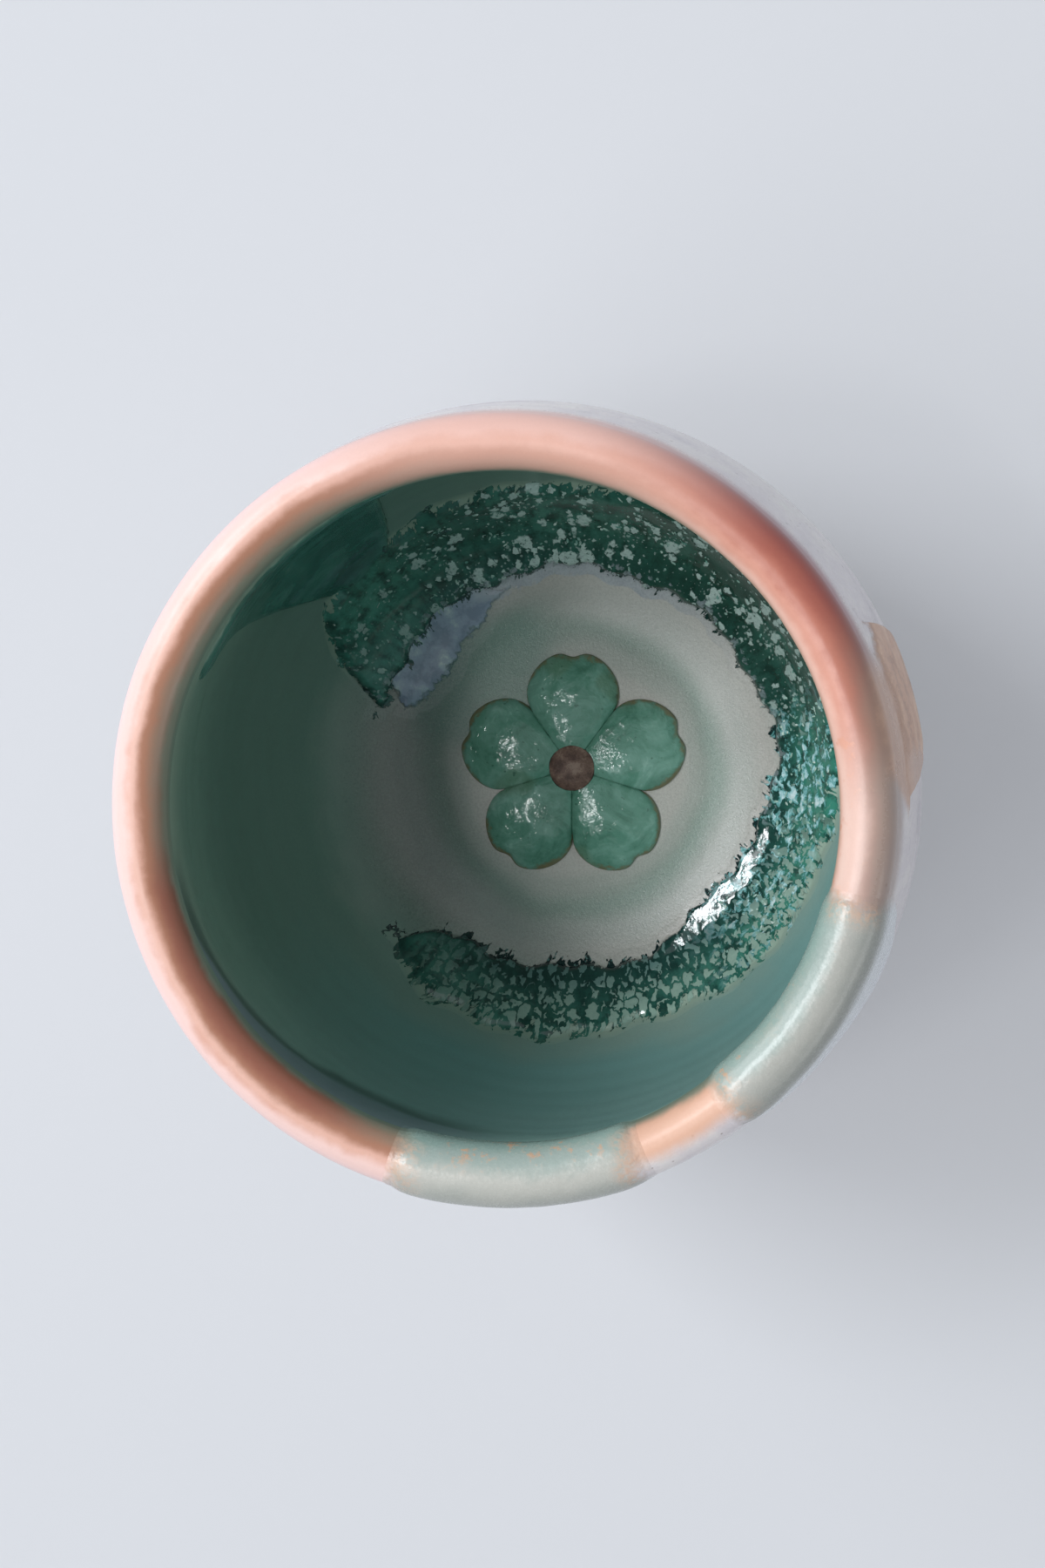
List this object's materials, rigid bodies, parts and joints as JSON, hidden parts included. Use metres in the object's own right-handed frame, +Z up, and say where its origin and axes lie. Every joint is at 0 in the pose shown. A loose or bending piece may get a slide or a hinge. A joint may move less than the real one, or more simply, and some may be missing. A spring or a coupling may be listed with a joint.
{
  "type": "ceramic tumbler",
  "caption": "Wheel-thrown ceramic tumbler without a handle, with a round belly, a rounded lip, a turned foot ring and poured crystalline glazes inside.",
  "frame": {"origin": "centre of the foot ring's underside, where the cup stands", "axes": "+Z up along the axis of the wheel, +Y towards the run of green glaze's side and +X towards the ochre pour"},
  "size_m": [0.0908, 0.0908, 0.0874],
  "materials": {
    "bare_clay": "bare fired stoneware, fine tooth",
    "satin_liner": "satin green-grey glaze",
    "lavender_glaze": "glossy grey-lavender glaze",
    "salmon_glaze": "semi-gloss salmon glaze, breaking brown at the inner edge",
    "pale_celadon": "glossy pale celadon glaze",
    "ochre_glaze": "semi-gloss ochre-brown glaze",
    "crystal_green": "glossy dark green glaze with pale crystals",
    "run_green": "glossy dark teal-green glaze",
    "grey_pool": "satin grey-lavender glaze",
    "petal_green": "thick glossy sea-green glaze",
    "iron_brown": "satin iron-brown glaze"
  },
  "bodies": {
    "root": {"clay_body": "bare_clay", "liner_glaze": "satin_liner", "outer_glaze": "lavender_glaze", "lip_glaze": "salmon_glaze", "lip_pour": "pale_celadon", "side_pour": "ochre_glaze", "green_glaze_ring": "crystal_green", "green_glaze_run": "run_green", "grey_glaze_pool": "grey_pool", "blossom_petals": "petal_green", "blossom_eye": "iron_brown"}
  },
  "joints": []
}
